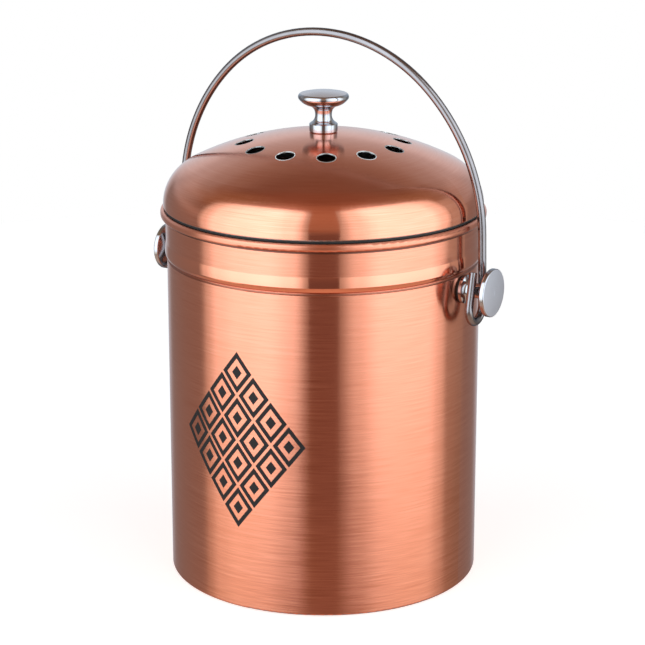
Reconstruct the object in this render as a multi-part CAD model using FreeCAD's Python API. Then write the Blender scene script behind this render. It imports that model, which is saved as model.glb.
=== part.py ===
import FreeCAD, Part
import math
import os

# Countertop compost bin: a round sheet-metal bin with a domed, vented lid and a wire bail handle.
# Millimetres, +Z up. The origin is the centre of the base, X runs along the two handle pivots,
# and the front faces -Y.

# Clearances and cutting
seat_gap = 0.05
slide_gap = 0.3
thread_gap = 0.05
hole_gap = 0.2
cut_overrun = 2.0

# Body: rolled wall with a foot turned inwards, a groove, a shoulder, a collar and a rolled rim
body_radius = 89.0
body_sheet = 0.6
rim_height = 213.1
rim_roll_radius = 1.7
rim_roll_flank = 1.1
rim_roll_tuck_deg = 95.0
collar_step = 0.6
collar_depth = 18.5
shoulder_depth = 9.3
belly_depth = 6.0
belly_swell = 0.55
belly_top_bow = 0.12
belly_low_bow = 0.48
groove_depth = 0.8
groove_flank = 0.8
groove_edge_radius = 0.45
foot_edge_radius = 1.2
foot_flange_width = 4.0

# Base: a pressed pan inside the wall, standing on the foot flange
base_recess = 4.0
base_sheet = 0.6
base_corner_radius = 2.0
base_fit_gap = 0.1

# Lid: a spun dome with a ring of vents, a flat seat for the knob and a flange turned inwards
lid_inset = 1.6
lid_sheet = 0.5
lid_rise = 40.6
lid_shoulder_radius = 25.0
lid_wall_height = 0.2
lid_hem_radius = 0.7
vent_count = 12
vent_radius = 5.2
vent_ring_radius = 44.5
vent_turn_deg = 2.0
knob_seat_radius = 8.8

# Seal: a ribbed silicone skirt with a lip that shows between rim and lid
seal_lip_thickness = 1.1
seal_lip_recess = 0.6
seal_depth = 5.0
seal_skirt_length = 6.5
seal_skirt_thickness = 2.4
seal_rib_count = 2
seal_rib_thickness = 1.3

# Lid ring: the plastic carrier that clamps the seal to the lid and guides the filter tray
ring_wall = 2.0
ring_flange_width = 3.0
ring_flange_thickness = 1.6
ring_lip_width = 1.5
ring_lip_thickness = 1.5

# Filter tray and filter
tray_wall = 2.0
tray_floor = 2.0
tray_height = 10.5
tray_border_width = 7.7
tray_hub_radius = 14.0
tray_hoop_radius = 44.0
tray_hoop_width = 4.0
tray_spoke_count = 6
tray_spoke_width = 4.0
tray_pull_length = 26.0
tray_pull_thickness = 3.0
tray_pull_height = 9.0
filter_thickness = 10.0
filter_gap = 0.7

# Knob: turned, with a collar at its foot, a waist and a lens-shaped head
knob_height = 23.4
knob_crown = 3.4
knob_head_radius = 14.3
knob_foot_radius = 8.0
knob_foot_height = 5.2
knob_foot_bevel = 0.6
knob_waist_radius = 4.7
knob_neck_radius = 5.3
knob_waist_height_share = 0.42
knob_neck_height_share = 0.54
knob_flare_height_share = 0.66
knob_flare_radius_share = 0.69
knob_edge_low_share = 0.78
knob_edge_low_radius_share = 0.95
knob_edge_high_share = 0.93
knob_edge_high_radius_share = 0.92

# Screws and washers
screw_radius = 2.5
screw_head_radius = 4.6
screw_head_height = 2.7
screw_slot_width = 1.2
screw_slot_depth = 1.3
screw_slot_length = 5.2
washer_radius = 7.0
washer_thickness = 1.0
knob_thread_depth = 11.0
stud_thread_depth = 9.0
tapped_hole_extra = 1.0

# Pivot studs, one each side: a gasket and a collar on the wall, then the neck and the round head
stud_drop = 8.9
gasket_radius = 7.7
gasket_thickness = 0.8
stud_foot_radius = 8.0
stud_foot_edge = 1.6
stud_collar_end_radius = 6.0
stud_neck_radius = 4.2
stud_inner_play = 0.5
stud_outer_play = 1.4
stud_head_radius = 13.5
stud_head_taper = 3.9
stud_head_edge = 2.9
stud_head_crown = 0.6
stud_edge_radius = 0.7

# Bail handle: one bent rod with a hairpin eye at each end
rod_radius = 2.3
bail_rim_gap = 2.8
bail_hand_room = 30.4
bail_side_ease = 12.5
bail_side_turn_deg = 45.0
eye_gap = 0.3
eye_slack = 1.8
eye_drop = 9.1
eye_side_gap = 0.84
eye_tip_rise = 11.6

# Places that follow from the sizes above
wall_inside = body_radius - body_sheet
collar_radius = body_radius + collar_step
mouth_radius = collar_radius - body_sheet
rim_roll_centre = mouth_radius + rim_roll_radius
rim_radius = rim_roll_centre + rim_roll_radius
rim_roll_z = rim_height - rim_roll_radius
rim_flank_low_z = rim_roll_z - rim_roll_flank
crease_z = rim_height - collar_depth
belly_radius = collar_radius + belly_swell
belly_z = crease_z - belly_depth
groove_z = crease_z - shoulder_depth
groove_low_z = groove_z - groove_flank
pivot_z = groove_z - stud_drop

lid_radius = rim_radius - lid_inset
seal_lip_z = rim_height + slide_gap
lid_edge_z = seal_lip_z + seal_lip_thickness
lid_shoulder_z = lid_edge_z + lid_hem_radius + lid_wall_height
shoulder_centre = lid_radius - lid_shoulder_radius
dome_radius = (lid_rise ** 2 + shoulder_centre ** 2 - lid_shoulder_radius ** 2) / (
    2 * (lid_rise - lid_shoulder_radius))
dome_centre_z = lid_shoulder_z + lid_rise - dome_radius
dome_tilt = math.degrees(math.asin(shoulder_centre / (dome_radius - lid_shoulder_radius)))
knob_seat_z = dome_centre_z + math.sqrt(dome_radius ** 2 - knob_seat_radius ** 2)
knob_top_z = knob_seat_z + knob_height

ring_outside = mouth_radius - seal_depth
ring_bore = ring_outside - ring_wall
ring_seat_z = lid_edge_z + lid_sheet
ring_top_z = ring_seat_z + ring_flange_thickness
seal_skirt_z = seal_lip_z - seal_skirt_length
ring_foot_z = seal_skirt_z - ring_lip_thickness
tray_outside = ring_bore - slide_gap
tray_inside = tray_outside - tray_wall
tray_floor_z = ring_foot_z + tray_floor
tray_top_z = ring_foot_z + tray_height

rod_x = rim_radius + bail_rim_gap + rod_radius
crown_z = knob_top_z + bail_hand_room + rod_radius
collar_end_x = rod_x - rod_radius - stud_inner_play
gasket_face_x = body_radius + gasket_thickness
head_back_x = rod_x + rod_radius + stud_outer_play
screw_hole_radius = screw_radius + hole_gap
tapped_radius = screw_radius + thread_gap


class Outline:
    """A closed outline of radius against height, turned into a solid about the height axis."""

    def __init__(self, radius, height):
        self.first = (radius, height)
        self.here = self.first
        self.edges = []

    def point(self, place):
        return FreeCAD.Vector(place[0], 0, place[1])

    def line(self, radius, height):
        end = (radius, height)
        self.edges.append(Part.LineSegment(self.point(self.here), self.point(end)).toShape())
        self.here = end

    def through(self, middle, end):
        arc = Part.Arc(self.point(self.here), self.point(middle), self.point(end))
        self.edges.append(arc.toShape())
        self.here = end

    def swing(self, centre_radius, centre_height, turn_deg):
        """An arc about a centre, anticlockwise with radius to the right and height up."""
        across = self.here[0] - centre_radius
        up = self.here[1] - centre_height
        size = math.hypot(across, up)
        start = math.atan2(up, across)
        middle, end = [
            (centre_radius + size * math.cos(angle), centre_height + size * math.sin(angle))
            for angle in (start + math.radians(turn_deg) / 2, start + math.radians(turn_deg))]
        self.through(middle, end)

    def bow(self, radius, height, rise):
        """An arc to a point that stands off its chord by rise, to the left of the way it goes."""
        across = radius - self.here[0]
        up = height - self.here[1]
        length = math.hypot(across, up)
        middle = ((self.here[0] + radius) / 2 - rise * up / length,
                  (self.here[1] + height) / 2 + rise * across / length)
        self.through(middle, (radius, height))

    def turned(self):
        self.line(*self.first)
        face = Part.Face(Part.Wire(Part.__sortEdges__(self.edges)))
        return face.revolve(FreeCAD.Vector(0, 0, 0), FreeCAD.Vector(0, 0, 1), 360)


def disc(radius, low_z, thickness):
    return Part.makeCylinder(radius, thickness, FreeCAD.Vector(0, 0, low_z))


def hoop(outside, inside, low_z, thickness):
    bore = disc(inside, low_z - cut_overrun, thickness + 2 * cut_overrun)
    return disc(outside, low_z, thickness).cut(bore)


def on_right(solid):
    """Lays a piece that was turned about Z along +X, with its Z = 0 at X = 0, on the pivot axis."""
    laid = solid.copy()
    laid.rotate(FreeCAD.Vector(0, 0, 0), FreeCAD.Vector(0, 1, 0), 90)
    laid.translate(FreeCAD.Vector(0, 0, pivot_z))
    return laid


def on_left(solid):
    """The same piece on the other side of the bin."""
    turned = on_right(solid)
    turned.rotate(FreeCAD.Vector(0, 0, 0), FreeCAD.Vector(0, 0, 1), 180)
    return turned


# Body and base

def body_shell():
    groove_radius = body_radius - groove_depth
    outline = Outline(body_radius - foot_flange_width, 0)
    outline.line(body_radius - foot_edge_radius, 0)
    outline.swing(body_radius - foot_edge_radius, foot_edge_radius, 90)
    wall_edge_z = groove_low_z - groove_edge_radius
    outline.line(body_radius, wall_edge_z)
    outline.swing(body_radius - groove_edge_radius, wall_edge_z, 90)
    outline.line(groove_radius, groove_z)
    outline.bow(belly_radius, belly_z, -belly_low_bow)
    outline.bow(collar_radius, crease_z, -belly_top_bow)
    outline.line(collar_radius, rim_roll_z)
    outline.swing(rim_roll_centre, rim_roll_z, -180)
    outline.line(rim_radius - body_sheet, rim_flank_low_z)
    outline.swing(rim_roll_centre, rim_flank_low_z, -rim_roll_tuck_deg)
    roll_end = math.radians(-rim_roll_tuck_deg)
    outline.line(rim_roll_centre + rim_roll_radius * math.cos(roll_end),
                 rim_flank_low_z + rim_roll_radius * math.sin(roll_end))
    outline.swing(rim_roll_centre, rim_flank_low_z, rim_roll_tuck_deg)
    outline.line(rim_radius, rim_roll_z)
    outline.swing(rim_roll_centre, rim_roll_z, 180)
    outline.line(mouth_radius, crease_z)
    outline.bow(belly_radius - body_sheet, belly_z, belly_top_bow)
    outline.bow(groove_radius - body_sheet, groove_z, belly_low_bow)
    outline.line(groove_radius - body_sheet, groove_low_z)
    outline.line(wall_inside, groove_low_z - groove_flank)
    outline.line(wall_inside, foot_edge_radius)
    outline.swing(body_radius - foot_edge_radius, foot_edge_radius, -90)
    outline.line(body_radius - foot_flange_width, body_sheet)
    drill_length = 2 * (body_radius + cut_overrun)
    drill = Part.makeCylinder(screw_hole_radius, drill_length,
                              FreeCAD.Vector(-drill_length / 2, 0, pivot_z),
                              FreeCAD.Vector(1, 0, 0))
    return outline.turned().cut(drill)


def base_pan():
    outside = body_radius - foot_edge_radius - base_fit_gap
    inside = outside - base_sheet
    top_z = base_recess + base_sheet
    bend_radius = outside - base_corner_radius
    bend_z = top_z - base_corner_radius
    outline = Outline(0, base_recess)
    outline.line(bend_radius, base_recess)
    outline.swing(bend_radius, bend_z, -90)
    outline.line(inside, body_sheet)
    outline.line(outside, body_sheet)
    outline.line(outside, bend_z)
    outline.swing(bend_radius, bend_z, 90)
    outline.line(0, top_z)
    return outline.turned()


# Pivot studs

def stud_gasket():
    """Rubber pad between the collar and the round wall, hollowed to the wall's curve."""
    reach = body_radius - cut_overrun
    pad = hoop(gasket_radius, screw_hole_radius, reach, gasket_face_x - reach)
    wall_length = 2 * (gasket_radius + cut_overrun)
    wall = Part.makeCylinder(body_radius + seat_gap, wall_length,
                             FreeCAD.Vector(-wall_length / 2, 0, 0), FreeCAD.Vector(1, 0, 0))
    return pad.cut(wall)


def stud_collar():
    """Turned spacer with a wide foot on the wall and a hollow flank."""
    edge_x = gasket_face_x + stud_foot_edge
    outline = Outline(screw_hole_radius, gasket_face_x)
    outline.line(stud_foot_radius, gasket_face_x)
    outline.line(stud_foot_radius, edge_x)
    hollow = (stud_foot_radius - stud_collar_end_radius) / 2
    outline.bow(stud_collar_end_radius, collar_end_x, hollow / 2)
    outline.line(screw_hole_radius, collar_end_x)
    return outline.turned()


def pivot_stud():
    """Neck that the handle's eye turns on, with a wide round head."""
    edge_x = head_back_x + stud_head_taper
    face_x = edge_x + stud_head_edge
    tap_x = collar_end_x + stud_thread_depth + tapped_hole_extra
    outline = Outline(tapped_radius, collar_end_x)
    outline.line(stud_neck_radius, collar_end_x)
    outline.line(stud_neck_radius, head_back_x)
    outline.line(stud_head_radius - stud_edge_radius, edge_x)
    outline.swing(stud_head_radius - stud_edge_radius, edge_x + stud_edge_radius, 90)
    outline.line(stud_head_radius, face_x - stud_edge_radius)
    outline.swing(stud_head_radius - stud_edge_radius, face_x - stud_edge_radius, 90)
    crown = stud_head_crown
    rim = stud_head_radius - stud_edge_radius
    sphere_radius = (rim ** 2 + crown ** 2) / (2 * crown)
    half_turn = math.asin(rim / sphere_radius) / 2
    outline.through((sphere_radius * math.sin(half_turn),
                     face_x + crown - sphere_radius * (1 - math.cos(half_turn))),
                    (0, face_x + crown))
    outline.line(0, tap_x)
    outline.line(tapped_radius, tap_x)
    return outline.turned()


# Where the flat washer inside the wall touches with its two sides
stud_washer_face_x = math.sqrt(wall_inside ** 2 - washer_radius ** 2) - seat_gap
stud_screw_head_x = stud_washer_face_x - washer_thickness


def washer(low_z):
    return hoop(washer_radius, screw_hole_radius, low_z, washer_thickness)


def cross_screw(head_face_z, tip_z):
    """Pan-head screw that points up, with a cross recess below."""
    low_z = head_face_z - screw_head_height
    edge = screw_head_height / 2
    outline = Outline(0, low_z)
    outline.line(screw_head_radius - edge, low_z)
    outline.swing(screw_head_radius - edge, low_z + edge, 90)
    outline.line(screw_head_radius, head_face_z)
    outline.line(screw_radius, head_face_z)
    outline.line(screw_radius, tip_z)
    outline.line(0, tip_z)
    screw = outline.turned()
    for length, width in ((screw_slot_length, screw_slot_width), (screw_slot_width, screw_slot_length)):
        corner = FreeCAD.Vector(-length / 2, -width / 2, low_z - cut_overrun)
        screw = screw.cut(Part.makeBox(length, width, cut_overrun + screw_slot_depth, corner))
    return screw


# Bail handle

def bail_handle():
    """Rod bent to an arch, each leg ending in a hairpin eye that closes round a stud's neck."""
    leg_y = stud_neck_radius + eye_gap + rod_radius
    eye_radius = stud_neck_radius + rod_radius + eye_slack
    eye_y = leg_y - eye_radius
    crown_height = math.sqrt((crown_z - pivot_z) ** 2 - leg_y ** 2)
    side_turn = math.radians(bail_side_turn_deg)
    side_radius = rod_x + bail_side_ease
    crown_radius = side_radius - bail_side_ease / math.cos(side_turn)
    crown_centre_z = crown_height - crown_radius
    arch_z = crown_centre_z - (side_radius - crown_radius) * math.sin(side_turn)
    guard_radius = stud_neck_radius + rod_radius + eye_side_gap
    closing = math.atan2(-eye_y, eye_drop) + math.asin(
        (eye_radius - guard_radius) / math.hypot(eye_y, eye_drop))
    eye_end_y = eye_y - eye_radius * math.cos(closing)
    eye_end_z = eye_radius * math.sin(closing) - eye_drop
    tip_y = eye_end_y + (eye_tip_rise - eye_end_z) * math.tan(closing)
    eye_middle_y = eye_y + eye_radius * math.cos(closing / 2 + math.pi / 2)
    eye_middle_z = -eye_drop - eye_radius * math.cos(closing / 2)

    def eye_edges(side):
        tip = FreeCAD.Vector(side * rod_x, tip_y, eye_tip_rise)
        eye_end = FreeCAD.Vector(side * rod_x, eye_end_y, eye_end_z)
        eye_middle = FreeCAD.Vector(side * rod_x, eye_middle_y, eye_middle_z)
        eye_start = FreeCAD.Vector(side * rod_x, leg_y, -eye_drop)
        leg_top = FreeCAD.Vector(side * rod_x, leg_y, arch_z)
        return [Part.LineSegment(tip, eye_end).toShape(),
                Part.Arc(eye_end, eye_middle, eye_start).toShape(),
                Part.LineSegment(eye_start, leg_top).toShape()]

    def arch_point(centre_x, centre_z, radius, angle):
        return FreeCAD.Vector(centre_x + radius * math.cos(angle), leg_y, centre_z + radius * math.sin(angle))

    def side_edge(side):
        start, middle, end = [arch_point(rod_x - side_radius, arch_z, side_radius, side_turn * part)
                              for part in (0, 1 / 2, 1)]
        for point in (start, middle, end):
            point.x = side * point.x
        return Part.Arc(start, middle, end).toShape()

    crown_edge = Part.Arc(arch_point(0, crown_centre_z, crown_radius, side_turn),
                          arch_point(0, crown_centre_z, crown_radius, math.pi / 2),
                          arch_point(0, crown_centre_z, crown_radius, math.pi - side_turn)).toShape()
    arch_edges = [side_edge(-1), crown_edge, side_edge(1)]
    path = Part.Wire(Part.__sortEdges__(eye_edges(-1) + arch_edges + eye_edges(1)))
    start = path.OrderedVertexes[0].Point
    along = path.OrderedEdges[0].tangentAt(path.OrderedEdges[0].FirstParameter)
    section = Part.Wire(Part.makeCircle(rod_radius, start, along))
    rod = path.makePipeShell([section], True, False)
    print("bail rod volume over section times length:",
          rod.Volume / (math.pi * rod_radius ** 2 * path.Length))
    # The arch leans forward until its crown stands over the pivots
    lean = math.degrees(math.atan2(leg_y, crown_height))
    rod.rotate(FreeCAD.Vector(0, 0, 0), FreeCAD.Vector(1, 0, 0), lean)
    rod.translate(FreeCAD.Vector(0, 0, pivot_z))
    return rod


# Lid

def lid_dome():
    hole_radius = screw_hole_radius
    seat_tilt = math.degrees(math.asin(knob_seat_radius / dome_radius))
    inner_radius = dome_radius - lid_sheet
    inner_seat_z = knob_seat_z - lid_sheet
    inner_seat_radius = math.sqrt(inner_radius ** 2 - (inner_seat_z - dome_centre_z) ** 2)
    inner_seat_tilt = math.degrees(math.asin(inner_seat_radius / inner_radius))
    hem_z = lid_edge_z + lid_hem_radius
    hem_radius = lid_radius - lid_hem_radius
    flange_radius = ring_outside + slide_gap
    outline = Outline(hole_radius, knob_seat_z)
    outline.line(knob_seat_radius, knob_seat_z)
    outline.swing(0, dome_centre_z, seat_tilt - dome_tilt)
    outline.swing(shoulder_centre, lid_shoulder_z, dome_tilt - 90)
    outline.line(lid_radius, hem_z)
    outline.swing(hem_radius, hem_z, -90)
    outline.line(flange_radius, lid_edge_z)
    outline.line(flange_radius, ring_seat_z)
    outline.line(hem_radius, ring_seat_z)
    outline.swing(hem_radius, hem_z, 90)
    outline.line(lid_radius - lid_sheet, lid_shoulder_z)
    outline.swing(shoulder_centre, lid_shoulder_z, 90 - dome_tilt)
    outline.swing(0, dome_centre_z, dome_tilt - inner_seat_tilt)
    outline.line(hole_radius, inner_seat_z)
    dome = outline.turned()
    vent_tilt = math.asin(vent_ring_radius / dome_radius)
    drill_start = inner_radius - cut_overrun
    drill_length = lid_sheet + 2 * cut_overrun
    for index in range(vent_count):
        bearing = math.radians(360 * index / vent_count + vent_turn_deg - 90)
        outwards = FreeCAD.Vector(math.sin(vent_tilt) * math.cos(bearing),
                                  math.sin(vent_tilt) * math.sin(bearing), math.cos(vent_tilt))
        start = outwards * drill_start + FreeCAD.Vector(0, 0, dome_centre_z)
        dome = dome.cut(Part.makeCylinder(vent_radius, drill_length, start, outwards))
    return dome


def lid_seal():
    inside = ring_outside + seat_gap
    skirt = inside + seal_skirt_thickness
    rib = mouth_radius - slide_gap
    rib_pitch = seal_skirt_length / (seal_rib_count + 1)
    outline = Outline(inside, seal_skirt_z)
    outline.line(skirt, seal_skirt_z)
    for index in range(seal_rib_count):
        rib_z = seal_skirt_z + rib_pitch * (index + 1)
        outline.line(skirt, rib_z - seal_rib_thickness / 2)
        outline.line(rib, rib_z - seal_rib_thickness / 4)
        outline.line(rib, rib_z + seal_rib_thickness / 4)
        outline.line(skirt, rib_z + seal_rib_thickness / 2)
    outline.line(skirt, seal_lip_z)
    outline.line(lid_radius - seal_lip_recess, seal_lip_z)
    outline.line(lid_radius - seal_lip_recess, lid_edge_z)
    outline.line(inside, lid_edge_z)
    return outline.turned()


def lid_ring():
    stop_z = tray_top_z + slide_gap
    outline = Outline(ring_bore, ring_foot_z)
    outline.line(ring_outside + ring_lip_width, ring_foot_z)
    outline.line(ring_outside + ring_lip_width, seal_skirt_z)
    outline.line(ring_outside, seal_skirt_z)
    outline.line(ring_outside, ring_seat_z)
    outline.line(ring_outside + ring_flange_width, ring_seat_z)
    outline.line(ring_outside + ring_flange_width, ring_top_z)
    outline.line(tray_inside, ring_top_z)
    outline.line(tray_inside, stop_z)
    outline.line(ring_bore, stop_z)
    return outline.turned()


def filter_tray():
    tray = hoop(tray_outside, tray_inside, ring_foot_z, tray_height)
    tray = tray.fuse(hoop(tray_outside, tray_outside - tray_border_width, ring_foot_z, tray_floor))
    tray = tray.fuse(hoop(tray_hoop_radius + tray_hoop_width / 2,
                          tray_hoop_radius - tray_hoop_width / 2, ring_foot_z, tray_floor))
    tray = tray.fuse(disc(tray_hub_radius, ring_foot_z, tray_floor))
    spoke_length = tray_outside - tray_border_width / 2
    for index in range(tray_spoke_count):
        spoke = Part.makeBox(spoke_length, tray_spoke_width, tray_floor,
                             FreeCAD.Vector(0, -tray_spoke_width / 2, ring_foot_z))
        spoke.rotate(FreeCAD.Vector(0, 0, 0), FreeCAD.Vector(0, 0, 1), 360 * index / tray_spoke_count)
        tray = tray.fuse(spoke)
    pull = Part.makeBox(tray_pull_length, tray_pull_thickness, tray_pull_height + tray_floor,
                        FreeCAD.Vector(-tray_pull_length / 2, -tray_pull_thickness / 2,
                                       ring_foot_z - tray_pull_height))
    return tray.fuse(pull).removeSplitter()


def charcoal_filter():
    return disc(tray_inside - filter_gap, tray_floor_z, filter_thickness)


def lid_knob():
    foot_z = knob_seat_z
    foot_top_z = foot_z + knob_foot_height
    waist_z = foot_z + knob_height * knob_waist_height_share
    neck_z = foot_z + knob_height * knob_neck_height_share
    flare = (knob_head_radius * knob_flare_radius_share, foot_z + knob_height * knob_flare_height_share)
    edge_low = (knob_head_radius * knob_edge_low_radius_share, foot_z + knob_height * knob_edge_low_share)
    edge_high = (knob_head_radius * knob_edge_high_radius_share, foot_z + knob_height * knob_edge_high_share)
    widest = (knob_head_radius, knob_top_z - knob_crown)
    tap_z = foot_z + knob_thread_depth + tapped_hole_extra
    outline = Outline(tapped_radius, foot_z)
    outline.line(knob_foot_radius - knob_foot_bevel, foot_z)
    outline.line(knob_foot_radius, foot_z + knob_foot_bevel)
    outline.line(knob_foot_radius, foot_top_z - knob_foot_bevel)
    outline.line(knob_foot_radius - knob_foot_bevel, foot_top_z)
    outline.bow(knob_waist_radius, waist_z, (knob_foot_radius - knob_waist_radius) / 4)
    outline.bow(knob_neck_radius, neck_z, (knob_neck_radius - knob_waist_radius) / 4)
    outline.bow(*flare, (flare[1] - neck_z) / 5)
    outline.bow(*edge_low, (flare[1] - edge_low[1]) / 10)
    outline.through(widest, edge_high)
    crown = knob_top_z - edge_high[1]
    sphere_radius = (edge_high[0] ** 2 + crown ** 2) / (2 * crown)
    half_turn = math.asin(edge_high[0] / sphere_radius) / 2
    outline.through((sphere_radius * math.sin(half_turn),
                     knob_top_z - sphere_radius * (1 - math.cos(half_turn))), (0, knob_top_z))
    outline.line(0, tap_z)
    outline.line(tapped_radius, tap_z)
    return outline.turned()


knob_washer_z = knob_seat_z - lid_sheet - washer_thickness
stud_washer = washer(stud_screw_head_x)
stud_screw = cross_screw(stud_screw_head_x, collar_end_x + stud_thread_depth)

pieces = {
    "body_shell": body_shell(),
    "base_pan": base_pan(),
    "stud_gasket_right": on_right(stud_gasket()),
    "stud_gasket_left": on_left(stud_gasket()),
    "stud_collar_right": on_right(stud_collar()),
    "stud_collar_left": on_left(stud_collar()),
    "pivot_stud_right": on_right(pivot_stud()),
    "pivot_stud_left": on_left(pivot_stud()),
    "stud_washer_right": on_right(stud_washer),
    "stud_washer_left": on_left(stud_washer),
    "stud_screw_right": on_right(stud_screw),
    "stud_screw_left": on_left(stud_screw),
    "bail_handle": bail_handle(),
    "lid_dome": lid_dome(),
    "lid_seal": lid_seal(),
    "lid_ring": lid_ring(),
    "filter_tray": filter_tray(),
    "charcoal_filter": charcoal_filter(),
    "lid_knob": lid_knob(),
    "knob_washer": washer(knob_washer_z),
    "knob_screw": cross_screw(knob_washer_z, knob_seat_z + knob_thread_depth),
}

os.makedirs("parts", exist_ok=True)
for name, solid in pieces.items():
    solid.exportStep("parts/" + name + ".step")
    box = solid.BoundBox
    print(name, "valid" if solid.isValid() else "NOT VALID", "solids", len(solid.Solids),
          "volume", round(solid.Volume, 1), "x", round(box.XMin, 2), round(box.XMax, 2),
          "y", round(box.YMin, 2), round(box.YMax, 2), "z", round(box.ZMin, 2), round(box.ZMax, 2))
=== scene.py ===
import math

import bmesh
import bpy
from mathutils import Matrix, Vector, noise


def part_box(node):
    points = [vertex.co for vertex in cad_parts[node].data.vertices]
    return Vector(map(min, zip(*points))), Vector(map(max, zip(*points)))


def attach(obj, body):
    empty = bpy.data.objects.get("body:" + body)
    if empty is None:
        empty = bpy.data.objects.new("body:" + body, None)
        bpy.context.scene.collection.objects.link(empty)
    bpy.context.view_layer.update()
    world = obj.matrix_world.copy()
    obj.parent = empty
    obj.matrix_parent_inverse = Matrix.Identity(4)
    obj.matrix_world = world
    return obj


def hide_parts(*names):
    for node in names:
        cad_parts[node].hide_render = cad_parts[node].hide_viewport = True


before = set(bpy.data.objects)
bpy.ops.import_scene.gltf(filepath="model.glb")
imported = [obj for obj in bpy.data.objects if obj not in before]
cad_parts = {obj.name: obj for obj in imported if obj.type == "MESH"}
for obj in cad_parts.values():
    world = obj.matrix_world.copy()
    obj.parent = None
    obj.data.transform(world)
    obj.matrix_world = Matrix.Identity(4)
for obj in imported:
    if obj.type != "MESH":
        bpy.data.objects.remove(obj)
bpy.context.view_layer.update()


# Wall of the bin: a cup drawn from thin steel, with rolled rim, shoulder and foot in one sheet.
# It is copper plated outside and brushed round its axis on a lathe; inside it stays plain steel.
# The brush leaves long fine lines, so it mirrors sharply across and smears up and down.
copper_red = (0.84, 0.289, 0.1735, 1.0)
copper_pale = (0.93, 0.366, 0.238, 1.0)
brush_along = 40.0
brush_across = 1500.0
brush_detail = 1.0
brush_uneven = 0.6
brush_tones = (0.20, 0.80)
brush_relief = 0.035
brush_depth = 0.00004
copper_brush = 0.93
across_the_brush = 0.25
wall_roughness = 0.20
line_rub = 0.1
handling_scale = 22.0
handling_detail = 3.0
handling_rub = 0.012
middle_tones = (0.3, 0.7)
inside_steel = (0.52, 0.52, 0.53, 1.0)
inside_roughness = 0.30
inside_starts_below = 0.2045
faces_axis = -0.12
outside_radius = 0.0893
# The crease under the rolled rim is coloured dark: painted shade.
crease_bounds = (0.2074, 0.2092)
crease_painted_shade = (0.26, 0.105, 0.075, 1.0)
crease_roughness = 0.40
# The bottom of the groove below the shoulder is coloured dark: painted shade.
groove_bounds = (0.18412, 0.18520)
groove_painted_shade = (0.42, 0.160, 0.105, 1.0)
roll_bounds = (0.2096, 0.2140)
roll_copper = (0.92, 0.340, 0.215, 1.0)
roll_roughness = 0.32
belly_bounds = (0.1857, 0.1944)
belly_radius = 0.0885
belly_copper = (0.90, 0.335, 0.210, 1.0)
belly_roughness = 0.11

# Places of the colour mixer's sockets: share, first colour, second colour, and its result.
mix_share, mix_first, mix_second, mix_result = 0, 6, 7, 2


def start_finish(name):
    """A new finish, its node tree and its shader."""
    finish = bpy.data.materials.new(name)
    finish.use_nodes = True
    return finish, finish.node_tree, finish.node_tree.nodes["Principled BSDF"]


def wire(tree, made, inputs):
    """Gives a node its inputs, each a value or the output of another node."""
    for place, value in inputs.items():
        if isinstance(value, bpy.types.NodeSocket):
            tree.links.new(value, made.inputs[place])
        else:
            made.inputs[place].default_value = value


def add(tree, kind, inputs=None, **settings):
    """Adds one node with its settings and inputs."""
    made = tree.nodes.new(kind)
    for key, value in settings.items():
        setattr(made, key, value)
    wire(tree, made, inputs or {})
    return made


def work_out(tree, operation, first, second=0.0, third=0.0):
    """One sum on numbers."""
    return add(tree, "ShaderNodeMath", {0: first, 1: second, 2: third}, operation=operation).outputs[0]


def length_of(tree, first, second):
    """Length of the long side over two sides at a right angle."""
    first_square = work_out(tree, "MULTIPLY", first, first)
    second_square = work_out(tree, "MULTIPLY", second, second)
    return work_out(tree, "SQRT", work_out(tree, "ADD", first_square, second_square))


def shift(tree, mask, value, other):
    """Moves a number to another one where a mask is 1."""
    more = work_out(tree, "MULTIPLY", mask, work_out(tree, "SUBTRACT", other, value))
    return work_out(tree, "ADD", value, more)


def blend_colours(tree, share, first, second):
    inputs = {mix_share: share, mix_first: first, mix_second: second}
    return add(tree, "ShaderNodeMix", inputs, data_type="RGBA").outputs[mix_result]


def spread(tree, value, low, high, from_low=0.0, from_high=1.0):
    """Stretches a number from one range to another, and holds it at the ends."""
    inputs = {"Value": value, "From Min": from_low, "From Max": from_high, "To Min": low, "To Max": high}
    return add(tree, "ShaderNodeMapRange", inputs).outputs[0]


def place_on(tree):
    """Where a point is in the bin's frame."""
    return add(tree, "ShaderNodeTexCoord").outputs["Object"]


def split(tree, vector):
    """The three parts of a place or a direction."""
    return add(tree, "ShaderNodeSeparateXYZ", {0: vector}).outputs


def facing_of(tree):
    """The three parts of the direction in which a face looks."""
    return split(tree, add(tree, "ShaderNodeNewGeometry").outputs["Normal"])


def mottle(tree, position, scale, detail, roughness=0.5, distortion=0.0):
    """Uneven cloudy shading."""
    inputs = {"Vector": position, "Scale": scale, "Detail": detail, "Roughness": roughness,
              "Distortion": distortion}
    return add(tree, "ShaderNodeTexNoise", inputs).outputs["Fac"]


def set_relief(tree, shader, height, strength, depth):
    bump = add(tree, "ShaderNodeBump", {"Height": height, "Strength": strength, "Distance": depth})
    tree.links.new(bump.outputs[0], shader.inputs["Normal"])


def axis_places(tree):
    """Where a point is on a turned piece: its place, the three parts of it, its distance from the axis."""
    position = place_on(tree)
    x, y, z = split(tree, position)
    return position, x, y, z, length_of(tree, x, y)


def brush_lines(tree, x, y, z, radius, along, across, detail):
    """Long fine lines round the axis: slow along the line, quick from one line to the next."""
    line = work_out(tree, "MULTIPLY", work_out(tree, "SUBTRACT", radius, z), across)
    place = add(tree, "ShaderNodeCombineXYZ", {0: work_out(tree, "MULTIPLY", x, along),
                                               1: work_out(tree, "MULTIPLY", y, along), 2: line})
    return mottle(tree, place.outputs[0], 1.0, detail, brush_uneven)


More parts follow.
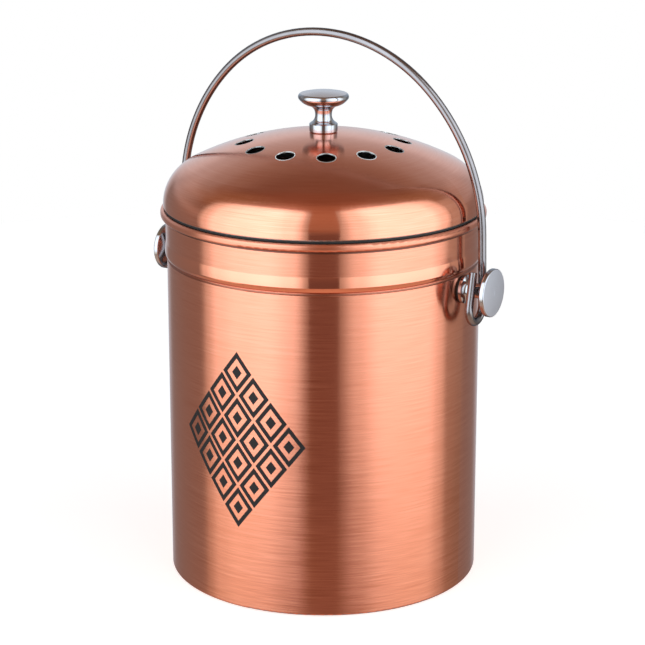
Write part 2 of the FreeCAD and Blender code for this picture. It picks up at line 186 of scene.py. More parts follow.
def brush_round_axis(tree, shader, brush):
    """Stretches the gloss across lines that run round the bin's axis."""
    tangent = add(tree, "ShaderNodeTangent", direction_type="RADIAL", axis="Z")
    wire(tree, shader, {"Anisotropic": brush, "Anisotropic Rotation": across_the_brush,
                        "Tangent": tangent.outputs[0]})


def brushed_copper(name, roughness, other_places):
    """Copper plate; other_places are (mask, colour, roughness) where it is worn or missing, or where painted
    shade or a painted highlight is laid on it.
    """
    finish, tree, shader = start_finish(name)
    position, x, y, z, radius = axis_places(tree)
    lines = brush_lines(tree, x, y, z, radius, brush_along, brush_across, brush_detail)
    colour = blend_colours(tree, spread(tree, lines, 0.0, 1.0, *brush_tones), copper_red, copper_pale)
    handled = mottle(tree, position, handling_scale, handling_detail)
    rub = roughness * line_rub
    rough = work_out(tree, "ADD", spread(tree, lines, roughness - rub, roughness + rub, *middle_tones),
                     spread(tree, handled, -handling_rub, handling_rub, *middle_tones))
    for mask_of, other_colour, other_roughness in other_places:
        mask = mask_of(tree, x, y, z, radius)
        colour = blend_colours(tree, mask, colour, other_colour)
        rough = shift(tree, mask, rough, other_roughness)
    wire(tree, shader, {"Base Color": colour, "Roughness": rough, "Metallic": 1.0})
    brush_round_axis(tree, shader, copper_brush)
    set_relief(tree, shader, lines, brush_relief, brush_depth)
    return finish


def inside_of_wall(tree, x, y, z, radius):
    """1 on the faces that look at the axis below the rim, which have no copper."""
    normal = facing_of(tree)
    outwards = work_out(tree, "ADD", work_out(tree, "MULTIPLY", normal[0], x),
                        work_out(tree, "MULTIPLY", normal[1], y))
    faces_in = work_out(tree, "LESS_THAN", work_out(tree, "DIVIDE", outwards, radius), faces_axis)
    return work_out(tree, "MULTIPLY", faces_in, work_out(tree, "LESS_THAN", z, inside_starts_below))


def band_of_wall(tree, z, bounds):
    """1 between two heights."""
    return work_out(tree, "MULTIPLY", work_out(tree, "GREATER_THAN", z, bounds[0]),
                    work_out(tree, "LESS_THAN", z, bounds[1]))


def outer_band(tree, z, bounds, radius, least_radius):
    """1 between two heights, outside a radius."""
    outside = work_out(tree, "GREATER_THAN", radius, least_radius)
    return work_out(tree, "MULTIPLY", outside, band_of_wall(tree, z, bounds))


def painted_shade_under_roll(tree, x, y, z, radius):
    """1 in the crease under the rolled rim, which is coloured dark there: painted shade."""
    return outer_band(tree, z, crease_bounds, radius, outside_radius)


def painted_shade_in_groove(tree, x, y, z, radius):
    """1 in the bottom of the groove below the shoulder, which is coloured dark there: painted shade."""
    return band_of_wall(tree, z, groove_bounds)


def on_roll(tree, x, y, z, radius):
    """1 on the outside of the rolled rim, which is rubbed dull by the lid and by hands."""
    return outer_band(tree, z, roll_bounds, radius, outside_radius)


def on_belly(tree, x, y, z, radius):
    """1 on the round belly of the shoulder, which the bead roller has burnished."""
    return outer_band(tree, z, belly_bounds, radius, belly_radius)


def dress(finish, *names):
    """Gives CAD nodes their finish."""
    for name in names:
        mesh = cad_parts[name].data
        mesh.materials.clear()
        mesh.materials.append(finish)


# The crease and groove colours given here are painted shade.
wall_copper = brushed_copper("wall_copper", wall_roughness,
                             ((painted_shade_under_roll, crease_painted_shade, crease_roughness),
                              (painted_shade_in_groove, groove_painted_shade, crease_roughness),
                              (on_roll, roll_copper, roll_roughness),
                              (on_belly, belly_copper, belly_roughness),
                              (inside_of_wall, inside_steel, inside_roughness)))
dress(wall_copper, "body_shell")


# Base pan: a shallow steel disc with a turned-down skirt, pressed into the foot of the wall.
# It is the floor of the bin, bare satin steel with the rings that the press and lathe leave.
pan_steel = (0.55, 0.55, 0.56, 1.0)
pan_grey = (0.44, 0.44, 0.455, 1.0)
pan_across = 900.0
pan_detail = 3.0
pan_brush = 0.5
pan_roughness = (0.30, 0.42)
pan_stain_scale = 60.0
pan_stain_detail = 4.0
pan_line_share = 0.7
pan_tones = (0.35, 0.65)
pan_relief = 0.2


def weigh(tree, share, first, second):
    """Mixes two numbers: a share of the first and the rest of the second."""
    return work_out(tree, "ADD", work_out(tree, "MULTIPLY", first, share),
                    work_out(tree, "MULTIPLY", second, 1.0 - share))


pan_satin, tree, shader = start_finish("pan_satin_steel")
position, x, y, z, radius = axis_places(tree)
lines = brush_lines(tree, x, y, z, radius, brush_along, pan_across, pan_detail)
stains = mottle(tree, position, pan_stain_scale, pan_stain_detail)
uneven = weigh(tree, pan_line_share, lines, stains)
wire(tree, shader, {
    "Base Color": blend_colours(tree, spread(tree, uneven, 0.0, 1.0, *pan_tones), pan_grey, pan_steel),
    "Roughness": spread(tree, lines, *pan_roughness, *middle_tones),
    "Metallic": 1.0})
brush_round_axis(tree, shader, pan_brush)
set_relief(tree, shader, lines, pan_relief, brush_depth)
dress(pan_satin, "base_pan")


# Printed ornament on the front of the wall: a plain lozenge lattice in charcoal ink.
# It is screen printed on the copper, a film a few hundredths of a millimetre thick.
wall_radius = 0.0890
print_film = 0.00007
print_root = 0.00002
print_turn = math.radians(-2.0)
print_middle = 0.0985
lozenge_width = 0.0205
lozenge_height = 0.0260
lattice_rows = (1, 2, 3, 4, 3, 2, 1)
frame_outside = 0.90
frame_inside = 0.62
frame_steps = 6
dot_scale = 0.30
dot_steps = 4
ink_black = (0.013, 0.011, 0.011, 1.0)
ink_grey = (0.024, 0.020, 0.020, 1.0)
ink_gloss = 0.22
ink_roughness = (0.42, 0.56)
screen_scale = 900.0
screen_detail = 2.0


def make_piece(name, shape):
    """Turns a finished shape into an object of the scene."""
    mesh = bpy.data.meshes.new(name)
    shape.to_mesh(mesh)
    shape.free()
    made = bpy.data.objects.new(name, mesh)
    bpy.context.scene.collection.objects.link(made)
    return made


def on_wall(along, height, depth):
    """A point on the wall, by the way round from the print's middle line and by height."""
    bearing = print_turn + along / wall_radius
    reach = wall_radius + depth
    return Vector((reach * math.sin(bearing), -reach * math.cos(bearing), height))


def between(start, end, share):
    """A point on the straight line between two flat points."""
    return [start[k] + (end[k] - start[k]) * share for k in (0, 1)]


def print_patch(film, corners, steps):
    """One closed patch of ink film over a four-cornered flat shape, bent round the wall."""
    layers = []
    for depth in (-print_root, print_film):
        rows = []
        for row in range(steps + 1):
            left = between(corners[0], corners[3], row / steps)
            right = between(corners[1], corners[2], row / steps)
            line = []
            for column in range(steps + 1):
                point = between(left, right, column / steps)
                line.append(film.verts.new(on_wall(point[0], print_middle + point[1], depth)))
            rows.append(line)
        layers.append(rows)
    under, over = layers
    last = steps
    for row in range(steps):
        for column in range(steps):
            film.faces.new((over[row][column], over[row][column + 1],
                            over[row + 1][column + 1], over[row + 1][column]))
            film.faces.new((under[row][column], under[row + 1][column],
                            under[row + 1][column + 1], under[row][column + 1]))
    for k in range(steps):
        for a, b in (((0, k), (0, k + 1)), ((k, last), (k + 1, last)),
                     ((last, k + 1), (last, k)), ((k + 1, 0), (k, 0))):
            film.faces.new((under[a[0]][a[1]], under[b[0]][b[1]], over[b[0]][b[1]], over[a[0]][a[1]]))


def lozenge(middle, scale):
    wide = lozenge_width / 2 * scale
    tall = lozenge_height / 2 * scale
    return [(middle[0] + wide, middle[1]), (middle[0], middle[1] + tall),
            (middle[0] - wide, middle[1]), (middle[0], middle[1] - tall)]


film = bmesh.new()
row_pitch = lozenge_height / 2
for row, count in enumerate(lattice_rows):
    height = (row - (len(lattice_rows) - 1) / 2) * row_pitch
    for place in range(count):
        middle = ((place - (count - 1) / 2) * lozenge_width, height)
        outer = lozenge(middle, frame_outside)
        inner = lozenge(middle, frame_inside)
        for side in range(4):
            after = (side + 1) % 4
            print_patch(film, [outer[side], outer[after], inner[after], inner[side]], frame_steps)
        print_patch(film, lozenge(middle, dot_scale), dot_steps)
bmesh.ops.recalc_face_normals(film, faces=film.faces)
front_print = make_piece("front_print", film)

ink, tree, shader = start_finish("charcoal_ink")
screen = mottle(tree, place_on(tree), screen_scale, screen_detail)
wire(tree, shader, {
    "Base Color": blend_colours(tree, spread(tree, screen, 0.0, 1.0, *middle_tones), ink_black, ink_grey),
    "Roughness": spread(tree, screen, *ink_roughness, *middle_tones),
    "Specular IOR Level": ink_gloss})
front_print.data.materials.append(ink)
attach(front_print, "bin")


# Stud gaskets: thin silicone rings between the wall and each handle stud, so nothing drips out.
# Moulded in black silicone, with the soft dusty bloom that silicone shows.
silicone_black = (0.010, 0.011, 0.011, 1.0)
silicone_bloom = (0.024, 0.025, 0.024, 1.0)
silicone_roughness = (0.48, 0.68)
silicone_gloss = 0.30
bloom_scale = 90.0
bloom_detail = 6.0
bloom_uneven = 0.65
bloom_tones = (0.4, 0.75)
silicone_grain = 2600.0
silicone_grain_detail = 1.0
silicone_relief = 0.25
grain_depth = 0.00003

silicone, tree, shader = start_finish("black_silicone")
position = place_on(tree)
bloom = mottle(tree, position, bloom_scale, bloom_detail, bloom_uneven)
grain = mottle(tree, position, silicone_grain, silicone_grain_detail)
dusty = spread(tree, bloom, 0.0, 1.0, *bloom_tones)
wire(tree, shader, {
    "Base Color": blend_colours(tree, dusty, silicone_black, silicone_bloom),
    "Roughness": spread(tree, bloom, *silicone_roughness, *middle_tones),
    "Specular IOR Level": silicone_gloss})
set_relief(tree, shader, grain, silicone_relief, grain_depth)
dress(silicone, "stud_gasket_right", "stud_gasket_left")


# Stud collars and pivot studs: turned from bar, plated in bright nickel chrome.
# Each stud passes its collar and the wall and is held inside by a washer and a screw.
# The lathe leaves very fine rings round the stud's own axis; the head's flat face is satin.
pivot_height = 0.1764
chrome_pale = (0.57, 0.548, 0.572, 1.0)
chrome_grey = (0.48, 0.463, 0.483, 1.0)
chrome_edge = (0.45, 0.46, 0.50, 1.0)
collar_roughness = 0.12
stud_roughness = 0.16
# The stud heads' flat faces are coloured paler than the chrome: painted highlight.
stud_face_painted_highlight_grey = (0.62, 0.605, 0.655, 1.0)
stud_face_painted_highlight_pale = (0.70, 0.685, 0.735, 1.0)
stud_face_roughness = 0.50
stud_line_share = 0.6
stud_line_pitch = 2200.0
ring_detail = 2.0
ring_rub = 0.3
wipe_scale = 130.0
wipe_detail = 5.0
wipe_uneven = 0.6
flat_face = (0.86, 0.95)
plate_relief = 0.08
plate_depth = 0.00002
along_x = 0


def plated_chrome(name, ring_axis, roughness, face_tones, face_roughness, edge_tint, line_share, line_pitch):
    """Chrome over fine rings round ring_axis. Faces square to that axis that look outwards have
    the two face_tones, dull and bright, and face_roughness; where these are paler than the chrome they are a
    painted highlight. edge_tint is the colour seen at a slant."""
    finish, tree, shader = start_finish(name)
    position = place_on(tree)
    parts = split(tree, position)
    along = parts[ring_axis]
    first, second = [parts[k] for k in range(3) if k != ring_axis]
    if ring_axis == along_x:
        second = work_out(tree, "SUBTRACT", second, pivot_height)
    from_axis = length_of(tree, first, second)
    ring = work_out(tree, "MULTIPLY", work_out(tree, "ADD", from_axis, along), line_pitch)
    lines = add(tree, "ShaderNodeTexNoise", {"W": ring, "Scale": 1.0, "Detail": ring_detail},
                noise_dimensions="1D").outputs["Fac"]
    wipes = mottle(tree, position, wipe_scale, wipe_detail, wipe_uneven)
    mixed = weigh(tree, line_share, lines, wipes)
    shade = spread(tree, mixed, 0.0, 1.0, *middle_tones)
    outwards = work_out(tree, "MULTIPLY", facing_of(tree)[ring_axis], work_out(tree, "SIGN", along))
    on_face = spread(tree, outwards, 0.0, 1.0, *flat_face)
    colour = blend_colours(tree, on_face, blend_colours(tree, shade, chrome_grey, chrome_pale),
                           blend_colours(tree, shade, *face_tones))
    rub = roughness * ring_rub
    polished = spread(tree, mixed, roughness - rub, roughness + rub, *middle_tones)
    wire(tree, shader, {"Base Color": colour, "Roughness": shift(tree, on_face, polished, face_roughness),
                        "Metallic": 1.0, "Specular Tint": edge_tint})
    set_relief(tree, shader, lines, plate_relief, plate_depth)
    return finish


dress(plated_chrome("collar_chrome", along_x, collar_roughness, (chrome_grey, chrome_pale),
                    collar_roughness, chrome_edge, stud_line_share, stud_line_pitch),
      "stud_collar_right", "stud_collar_left")
dress(plated_chrome("stud_chrome", along_x, stud_roughness, (stud_face_painted_highlight_grey, stud_face_painted_highlight_pale),
                    stud_face_roughness, chrome_edge, stud_line_share, stud_line_pitch),
      "pivot_stud_right", "pivot_stud_left")


# Stud washers and screws, inside the wall: stamped and headed steel, zinc plated.
# Zinc is grey with a faint blue and straw cast and a fine crystal mottle.
zinc_blue = (0.50, 0.53, 0.58, 1.0)
zinc_straw = (0.60, 0.575, 0.52, 1.0)
zinc_cast_scale = 180.0
zinc_cast_detail = 3.0
zinc_tones = (0.35, 0.65)
crystal_scale = 1400.0
zinc_roughness = (0.30, 0.46)
crystal_size = (0.0, 0.8)
zinc_relief = 0.12

zinc, tree, shader = start_finish("zinc_plate")
position = place_on(tree)
cast = spread(tree, mottle(tree, position, zinc_cast_scale, zinc_cast_detail), 0.0, 1.0, *zinc_tones)
crystals = add(tree, "ShaderNodeTexVoronoi", {"Vector": position, "Scale": crystal_scale}).outputs["Distance"]
wire(tree, shader, {
    "Base Color": blend_colours(tree, cast, zinc_blue, zinc_straw),
    "Roughness": spread(tree, crystals, *zinc_roughness, *crystal_size),
    "Metallic": 1.0})
set_relief(tree, shader, crystals, zinc_relief, plate_depth)
dress(zinc, "stud_washer_right", "stud_washer_left", "stud_screw_right", "stud_screw_left")


# Bail handle: one length of steel rod, bent to an arch with a hairpin eye at each end.
# It hangs on the two studs; it is polished and chrome plated, with faint marks of use.
# The rod's chrome is coloured much darker than the studs' chrome: painted shade.
rod_painted_shade_pale = (0.325, 0.290, 0.292, 1.0)
rod_painted_shade_grey = (0.258, 0.231, 0.234, 1.0)
rod_roughness = (0.20, 0.26)
rod_wipe_scale = 70.0
rod_wipe_detail = 6.0
rod_relief = 0.03

rod_chrome, tree, shader = start_finish("bail_chrome")
wipes = mottle(tree, place_on(tree), rod_wipe_scale, rod_wipe_detail, wipe_uneven)
wire(tree, shader, {
    "Base Color": blend_colours(tree, spread(tree, wipes, 0.0, 1.0, *middle_tones), rod_painted_shade_grey, rod_painted_shade_pale),
    "Roughness": spread(tree, wipes, *rod_roughness, *middle_tones),
    "Metallic": 1.0,
    "Specular Tint": chrome_edge})
set_relief(tree, shader, wipes, rod_relief, plate_depth)
dress(rod_chrome, "bail_handle")


# Lid dome: a spun steel dome with twelve punched vents, copper plated and brushed as the wall is.
# The punch leaves a bare steel edge in each vent, and the underside has no copper.
# The vents' cut edges and a narrow ring round each are coloured pale: bare steel, with a painted highlight.
vent_ring = 0.0445
vent_radius = 0.0052
vent_turn = math.radians(2.0 - 90.0)
vent_step = math.radians(30.0)
edge_margin = 0.00032
cut_edge_and_painted_highlight = (0.86, 0.84, 0.82, 1.0)
cut_roughness = 0.62
lid_roughness = 0.13
looks_down = -0.3


def under_dome(tree, x, y, z, radius):
    """1 on faces that look down."""
    return work_out(tree, "LESS_THAN", facing_of(tree)[2], looks_down)


def vent_edges_and_painted_highlight(tree, x, y, z, radius):
    """1 on the cut edges of the vents and on a narrow ring round each, coloured pale: bare steel and painted
    highlight.
    """
    turn = work_out(tree, "SUBTRACT", work_out(tree, "ARCTAN2", y, x), vent_turn)
    in_step = work_out(tree, "WRAP", turn, vent_step / 2, -vent_step / 2)
    forward = work_out(tree, "MULTIPLY", radius, work_out(tree, "COSINE", in_step))
    sideways = work_out(tree, "MULTIPLY", radius, work_out(tree, "SINE", in_step))
    from_vent = length_of(tree, work_out(tree, "SUBTRACT", forward, vent_ring), sideways)
    return work_out(tree, "LESS_THAN", from_vent, vent_radius + edge_margin)


lid_copper = brushed_copper("lid_copper", lid_roughness, ((vent_edges_and_painted_highlight, cut_edge_and_painted_highlight, cut_roughness),
                                                          (under_dome, inside_steel, inside_roughness)))
dress(lid_copper, "lid_dome")


# Lid seal: a ring of black silicone with a lip, stretched over the lid's flange.
# Its lip closes the gap to the rim, and its skirt guides the lid in the mouth.
dress(silicone, "lid_seal")


# Lid ring and filter tray: moulded black plastic; the ring snaps into the lid, the tray into the ring.
# The mould is spark eroded, which gives a fine even grain with a dull sheen.
plastic_black = (0.020, 0.020, 0.022, 1.0)
plastic_grey = (0.034, 0.034, 0.036, 1.0)
plastic_roughness = (0.42, 0.60)
plastic_grain = 3200.0
plastic_grain_detail = 2.0
flow_scale = 40.0
flow_detail = 3.0
flow_tones = (0.35, 0.7)
spark_relief = 0.35
spark_depth = 0.00004

moulded, tree, shader = start_finish("moulded_black")
position = place_on(tree)
grain = mottle(tree, position, plastic_grain, plastic_grain_detail)
flow = spread(tree, mottle(tree, position, flow_scale, flow_detail), 0.0, 1.0, *flow_tones)
wire(tree, shader, {
    "Base Color": blend_colours(tree, flow, plastic_black, plastic_grey),
    "Roughness": spread(tree, grain, *plastic_roughness, *middle_tones)})
set_relief(tree, shader, grain, spark_relief, spark_depth)
dress(moulded, "lid_ring", "filter_tray")


# Charcoal filter: a round pad of needled felt filled with carbon, die cut, laid loose in the tray.
# The needles leave a soft uneven face with small dents, and the cut edge is a little fuzzy.
felt_low, felt_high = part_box("charcoal_filter")
felt_radius = (felt_high.x - felt_low.x) / 2
felt_thick = felt_high.z - felt_low.z
felt_edge = 0.0022
felt_rings = 44
felt_spokes = 168
felt_bends = 8
felt_dent = 0.00035
least_dent = 0.00003
plain_share = 0.55
lump_share = 0.5
lump_scale = 95
fuzz_share = 0.35
fuzz_scale = 520
fuzz_shift = 7
edge_hold = 0.7
felt_black = (0.016, 0.016, 0.018, 1.0)
felt_fibre = (0.060, 0.060, 0.064, 1.0)
felt_roughness = (0.82, 0.98)
fibre_scale = 900.0
fibre_detail = 5.0
fibre_uneven = 0.7
fibre_twist = 1.6
fibre_tones = (0.42, 0.68)
needle_scale = 420.0
needle_share = 0.5
nap_relief = 0.7
nap_depth = 0.0003
felt_sheen = 0.35
felt_sheen_roughness = 0.5


def felt_profile():
    """Half section of the pad from the middle of its top, round the soft edge, to the middle below."""
    inner = felt_radius - felt_edge
    top = [(inner * k / felt_rings, felt_thick) for k in range(1, felt_rings)]
    bend = []
    for k in range(felt_bends + 1):
        turn = math.radians(90 - 90 * k / felt_bends)
        bend.append((inner + felt_edge * math.cos(turn), felt_thick - felt_edge * (1 - math.sin(turn))))
    low_bend = [(r, felt_thick - h) for r, h in reversed(bend)]
    low = [(r, 0.0) for r, h in reversed(top)]
    return top + bend + low_bend + low


def felt_point(reach, bearing, height):
    """A point of the pad, sunk by the needles; nothing stands outside the plain disc."""
    x = reach * math.cos(bearing)
    y = reach * math.sin(bearing)
    lump = noise.noise(Vector((x * lump_scale, y * lump_scale, height * lump_scale)))
    fuzz = noise.noise(Vector((x * fuzz_scale + fuzz_shift, y * fuzz_scale, height * fuzz_scale)))
    sink = max(least_dent, felt_dent * (plain_share + lump_share * lump + fuzz_share * fuzz))
    inwards = min(1.0, max(0.0, (reach - (felt_radius - felt_edge)) / felt_edge))
    towards_middle = 1.0 if height < felt_thick / 2 else -1.0
    shrink = 1 - sink * inwards / felt_radius
    level = felt_low.z + height + towards_middle * sink * (1 - edge_hold * inwards)
    return Vector((x * shrink, y * shrink, level))


pad = bmesh.new()
circles = []
for reach, height in felt_profile():
    circles.append([pad.verts.new(felt_point(reach, 2 * math.pi * k / felt_spokes, height))
                    for k in range(felt_spokes)])
for upper, lower in zip(circles, circles[1:]):
    for k in range(felt_spokes):
        after = (k + 1) % felt_spokes
        pad.faces.new((upper[k], lower[k], lower[after], upper[after]))
for circle, height in ((circles[0], felt_thick), (circles[-1], 0.0)):
    middle = pad.verts.new(felt_point(0.0, 0.0, height))
    for k in range(felt_spokes):
        pad.faces.new((middle, circle[k], circle[(k + 1) % felt_spokes]))
bmesh.ops.recalc_face_normals(pad, faces=pad.faces)
for face in pad.faces:
    face.smooth = True
felt_pad = make_piece("felt_pad", pad)

felt, tree, shader = start_finish("carbon_felt")
position = place_on(tree)
fibres = mottle(tree, position, fibre_scale, fibre_detail, fibre_uneven, fibre_twist)
needles = add(tree, "ShaderNodeTexVoronoi", {"Vector": position, "Scale": needle_scale}).outputs["Distance"]
wire(tree, shader, {
    "Base Color": blend_colours(tree, spread(tree, fibres, 0.0, 1.0, *fibre_tones), felt_black, felt_fibre),
    "Roughness": spread(tree, fibres, *felt_roughness, *middle_tones),
    "Sheen Weight": felt_sheen,
    "Sheen Roughness": felt_sheen_roughness})
nap = work_out(tree, "ADD", fibres, work_out(tree, "MULTIPLY", needles, needle_share))
set_relief(tree, shader, nap, nap_relief, nap_depth)
felt_pad.data.materials.append(felt)
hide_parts("charcoal_filter")
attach(felt_pad, "filter")


# Lid knob: turned from solid bar and chrome plated, with a waisted neck and a low crowned head.
# A washer and a screw under the lid hold it; both are zinc plated as those of the studs.
knob_roughness = 0.09
knob_edge = (0.75, 0.76, 0.80, 1.0)
# The knob's flat top is coloured much paler than its chrome: painted highlight.
knob_top_painted_highlight_grey = (0.88, 0.760, 0.735, 1.0)
knob_top_painted_highlight_pale = (0.96, 0.830, 0.805, 1.0)
knob_top_roughness = 0.22
knob_line_share = 0.55
knob_line_pitch = 2600.0
along_z = 2
dress(plated_chrome("knob_chrome", along_z, knob_roughness, (knob_top_painted_highlight_grey, knob_top_painted_highlight_pale),
                    knob_top_roughness, knob_edge, knob_line_share, knob_line_pitch), "lid_knob")
dress(zinc, "knob_washer", "knob_screw")


# Floor: a round pale table, white to the camera and lit as a plain matt surface as well,
# so it keeps the soft shadow of the bin. Mirrors look past it at the softboxes and the tent.
table_radius = 0.90
table_sides = 160
table_drop = 0.0002
table_white = (0.80, 0.80, 0.80, 1.0)
table_lift = 0.60
room_light = 0.35
white = (1.0, 1.0, 1.0, 1.0)


def white_rays(tree):
    """1 for what the camera sees straight, in a mirror or through glass."""
    path = add(tree, "ShaderNodeLightPath").outputs
    seen = work_out(tree, "MAXIMUM", path["Is Camera Ray"], path["Is Glossy Ray"])
    return work_out(tree, "MAXIMUM", seen, path["Is Transmission Ray"])


def show_only(tree, shader, surface):
    """Puts another surface in the place of the usual shader."""
    tree.links.new(surface, tree.nodes["Material Output"].inputs["Surface"])
    tree.nodes.remove(shader)


top = bmesh.new()
bmesh.ops.create_circle(top, cap_ends=True, segments=table_sides, radius=table_radius)
table = make_piece("table_top", top)
table.location = (0.0, 0.0, -table_drop)
table.visible_glossy = False
table.visible_shadow = False
table_paint, tree, shader = start_finish("table_white")
matt = add(tree, "ShaderNodeBsdfDiffuse", {"Color": table_white})
lift = add(tree, "ShaderNodeEmission", {"Strength": work_out(tree, "MULTIPLY", white_rays(tree), table_lift)})
both = add(tree, "ShaderNodeAddShader", {0: matt.outputs[0], 1: lift.outputs[0]})
show_only(tree, shader, both.outputs[0])
table_paint.cycles.emission_sampling = "NONE"
table.data.materials.append(table_paint)

world = bpy.data.worlds.new("white_room")
world.use_nodes = True
bpy.context.scene.world = world
sky = world.node_tree
room_level = spread(sky, white_rays(sky), room_light, 1.0)
wire(sky, sky.nodes["Background"], {"Color": white, "Strength": room_level})


# Studio: a large softbox left and right of the camera, a dim sheet far right, and a dim tent round all.
# Only mirrors see these cloths; two plain lamps in the boxes' places light what is matt.
# All cloth is lit a little cool, so that chrome stays grey beside the red of the copper.
camera_turn = math.radians(30.0)
box_distance = 1.5
box_light = 1.71
box_warm = (1.0, 0.87, 0.72)
cool_light = (1.0, 1.16, 1.28)
bin_middle = 0.12
foot_slope = (-0.40, -0.27)
foot_warm = (0.667, 0.542, 0.416, 1.0)
lid_slope = (-0.22, -0.05)
lid_gain = (1.0, 1.20)
lamp_light = 0.9
lamp_width = 2.6
lamp_height = 2.4
lamp_middle = 1.0
tent_radius = 6.0
tent_meridians = 96
tent_parallels = 48

# Each cloth has a name, whether a lamp goes with it, the bearing it faces from, its four corners
# as bearing and height, and its level at bearings from its left end to its right end.
softboxes = (
    ("softbox_left", True, -57.0,
     ((-97.0, -0.76), (-10.3, -0.46), (-10.3, 3.05), (-97.0, 1.55)),
     ((-97.0, 0.20), (-91.0, 0.48), (-80.0, 0.82), (-62.0, 0.98), (-40.0, 1.06), (-22.0, 0.87),
      (-10.3, 0.27))),
    ("softbox_right", True, 57.0,
     ((10.8, -0.46), (99.5, -0.78), (99.5, 1.85), (10.8, 3.30)),
     ((10.8, 0.28), (24.0, 0.69), (42.0, 0.99), (80.0, 0.91), (92.0, 0.63), (99.5, 0.40))),
    ("side_sheet_right", False, 100.0,
     ((99.5, -0.70), (122.0, -0.70), (122.0, 0.90), (99.5, 1.10)),
     ((99.5, 0.27), (122.0, 0.20))),
)


def from_camera(bearing_deg):
    """Unit direction at a bearing right of the camera, seen from the bin."""
    turn = camera_turn + math.radians(bearing_deg)
    return Vector((math.sin(turn), -math.cos(turn), 0.0))


def work_out_vector(tree, operation, first, second=(0.0, 0.0, 0.0)):
    """One sum on directions or colours."""
    return add(tree, "ShaderNodeVectorMath", {0: first, 1: second}, operation=operation).outputs


def ramp(tree, value, stops):
    """A colour that goes through the given stops, each a place from 0 to 1 and a colour."""
    made = add(tree, "ShaderNodeValToRGB", {0: value})
    slider = made.color_ramp
    slider.interpolation = "EASE"
    while len(slider.elements) < len(stops):
        slider.elements.new(0.5)
    for element, (place, colour) in zip(slider.elements, stops):
        element.position = place
        element.color = (*colour, 1.0)
    return made.outputs["Color"]


def start_cloth(name, strength, sampled):
    """A cloth that gives light, its node tree and its light."""
    cloth, tree, shader = start_finish(name)
    glow = add(tree, "ShaderNodeEmission", {"Strength": strength})
    show_only(tree, shader, glow.outputs[0])
    cloth.cycles.emission_sampling = sampled
    return cloth, tree, glow


def light_cloth(tree, glow, colour):
    """Gives a cloth its colour, under the cool light behind it."""
    wire(tree, glow, {"Color": work_out_vector(tree, "MULTIPLY", colour, cool_light)[0]})


def hang(cloth_piece, cloth):
    """Hangs a cloth in the studio, where only mirrors see it."""
    cloth_piece.data.materials.append(cloth)
    cloth_piece.visible_camera = False
    cloth_piece.visible_diffuse = False
    cloth_piece.visible_transmission = False
    cloth_piece.visible_shadow = False


def box_glow(level):
    """White where the box is bright, warmer where it falls off."""
    return tuple(level * (warm + (1.0 - warm) * level) for warm in box_warm)


def box_colour(tree, faces_from, levels):
    """Colour by the place along a box, which is warm and dim at its foot and brighter above the rim."""
    position, x, y, z, away = axis_places(tree)
    places = [math.tan(math.radians(bearing - faces_from)) for bearing, level in levels]
    low, high = places[0], places[-1]
    along = work_out_vector(tree, "DOT_PRODUCT", position, from_camera(faces_from + 90.0))["Value"]
    share = spread(tree, along, 0.0, 1.0, low * box_distance, high * box_distance)
    across = ramp(tree, share, [((place - low) / (high - low), box_glow(level))
                                for place, (bearing, level) in zip(places, levels)])
    slope = work_out(tree, "DIVIDE", work_out(tree, "SUBTRACT", z, bin_middle), away)
    tone = blend_colours(tree, spread(tree, slope, 0.0, 1.0, *foot_slope), foot_warm, white)
    toned = work_out_vector(tree, "MULTIPLY", across, tone)[0]
    gain = spread(tree, slope, *lid_gain, *lid_slope)
    return add(tree, "ShaderNodeVectorMath", {0: toned, "Scale": gain}, operation="SCALE").outputs[0]


for name, has_lamp, faces_from, corners, levels in softboxes:
    panel = bmesh.new()
    points = []
    for bearing, height in corners:
        away = box_distance / math.cos(math.radians(bearing - faces_from))
        points.append(from_camera(bearing) * away + Vector((0, 0, height)))
    panel.faces.new([panel.verts.new(point) for point in points])
    cloth, tree, glow = start_cloth(name + "_cloth", box_light, "FRONT_BACK")
    light_cloth(tree, glow, box_colour(tree, faces_from, levels))
    hang(make_piece(name, panel), cloth)
    if has_lamp:
        lamp = bpy.data.lights.new(name + "_lamp", "AREA")
        lamp.shape = "RECTANGLE"
        lamp.size = lamp_width
        lamp.size_y = lamp_height
        lamp.energy = lamp_light * math.pi * lamp_width * lamp_height
        light = bpy.data.objects.new(name + "_lamp", lamp)
        light.location = from_camera(faces_from) * box_distance + Vector((0, 0, lamp_middle))
        light.rotation_euler = (-from_camera(faces_from)).to_track_quat("-Z", "Y").to_euler()
        light.visible_camera = False
        light.visible_glossy = False
        bpy.context.scene.collection.objects.link(light)

# The tent's colours from straight down, 0, to straight up, 1: in front between the boxes, at the
# sides, behind the bin, and in the narrow rear where it is palest and gives the lid a light rim.
overhead = (0.24, 0.120, 0.074)
tent_front = (
    (0.0, (0.70, 0.43, 0.29)), (0.20, (0.62, 0.36, 0.24)), (0.30, (0.15, 0.083, 0.066)),
    (0.50, (0.175, 0.100, 0.080)), (0.62, (0.42, 0.245, 0.160)), (0.86, (0.46, 0.260, 0.165)),
    (0.95, (0.40, 0.210, 0.130)), (1.0, overhead))
tent_sides = (
    (0.0, (0.72, 0.46, 0.33)), (0.20, (0.64, 0.41, 0.29)), (0.31, (0.25, 0.215, 0.195)),
    (0.50, (0.30, 0.25, 0.225)), (0.59, (0.40, 0.335, 0.30)), (0.68, (0.26, 0.20, 0.165)),
    (0.80, (0.30, 0.195, 0.12)), (0.90, (0.29, 0.18, 0.10)), (1.0, overhead))
tent_back = (
    (0.0, (0.36, 0.28, 0.24)), (0.32, (0.25, 0.215, 0.195)), (0.54, (0.26, 0.235, 0.22)),
    (0.62, (0.45, 0.46, 0.47)), (0.74, (0.50, 0.51, 0.52)), (0.82, (0.37, 0.350, 0.340)),
    (0.87, (0.29, 0.220, 0.180)), (0.93, (0.20, 0.122, 0.086)), (1.0, overhead))
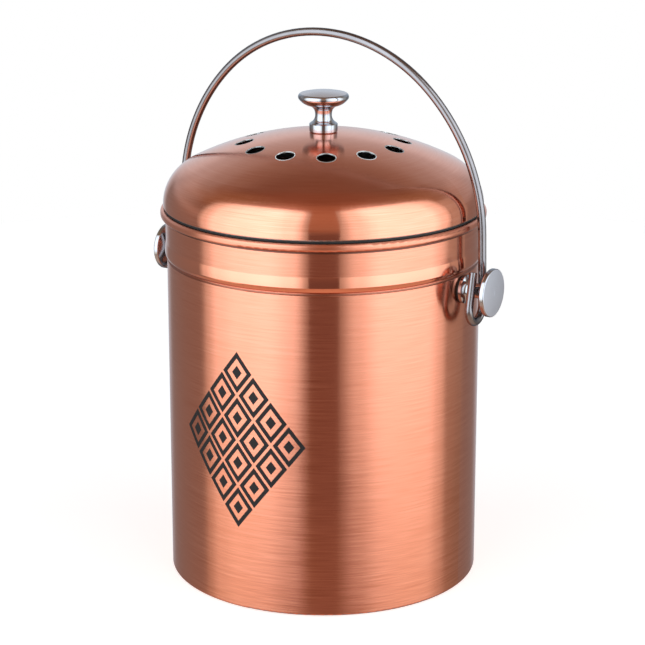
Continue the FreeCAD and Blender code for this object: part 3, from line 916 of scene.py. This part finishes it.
tent_rear = (
    (0.0, (0.36, 0.30, 0.27)), (0.28, (0.36, 0.34, 0.33)), (0.38, (0.56, 0.60, 0.62)),
    (0.50, (0.66, 0.67, 0.68)), (0.66, (0.69, 0.70, 0.70)), (0.74, (0.50, 0.50, 0.50)),
    (0.81, (0.42, 0.385, 0.365)), (0.87, (0.29, 0.220, 0.180)), (0.93, (0.20, 0.122, 0.086)),
    (1.0, overhead))

# Where the front, the back and the rear take over: a bearing, and how far from it each starts and is full.
front_part = (0.0, 75.0, 45.0)
back_part = (180.0, 75.0, 40.0)
rear_part = (180.0, 30.0, 12.0)


def near_bearing(tree, level, bearing, start, full):
    """Rises from 0 to 1 as a direction comes round to a bearing, whatever its height."""
    share = work_out_vector(tree, "DOT_PRODUCT", level, from_camera(bearing))["Value"]
    return spread(tree, share, 0.0, 1.0, math.cos(math.radians(start)), math.cos(math.radians(full)))


shape = bmesh.new()
bmesh.ops.create_uvsphere(shape, u_segments=tent_meridians, v_segments=tent_parallels, radius=tent_radius)
cloth, tree, glow = start_cloth("tent_cloth", 1.0, "NONE")
towards = work_out_vector(tree, "NORMALIZE", place_on(tree))[0]
height = spread(tree, split(tree, towards)[2], 0.0, 1.0, -1.0, 1.0)
flat = work_out_vector(tree, "MULTIPLY", towards, (1.0, 1.0, 0.0))[0]
level = work_out_vector(tree, "NORMALIZE", flat)[0]
shade = ramp(tree, height, tent_sides)
for part, colours in ((front_part, tent_front), (back_part, tent_back), (rear_part, tent_rear)):
    shade = blend_colours(tree, near_bearing(tree, level, *part), shade, ramp(tree, height, colours))
light_cloth(tree, glow, shade)
hang(make_piece("studio_tent", shape), cloth)


# Camera: a long lens a little above the lid, turned to the right of the front.
camera_place = Vector((0.6172, -1.0691, 0.4999))
camera_target = Vector((-0.00048, -0.00028, 0.1441))
view_angle = math.radians(16.445)
sensor_width = 36.0
lens = bpy.data.cameras.new("camera")
lens.sensor_width = sensor_width
lens.lens = sensor_width / (2 * math.tan(view_angle / 2))
camera = bpy.data.objects.new("camera", lens)
camera.location = camera_place
camera.rotation_euler = (camera_target - camera_place).to_track_quat("-Z", "Y").to_euler()
bpy.context.scene.collection.objects.link(camera)
bpy.context.scene.camera = camera
bpy.context.scene.view_settings.view_transform = "Standard"
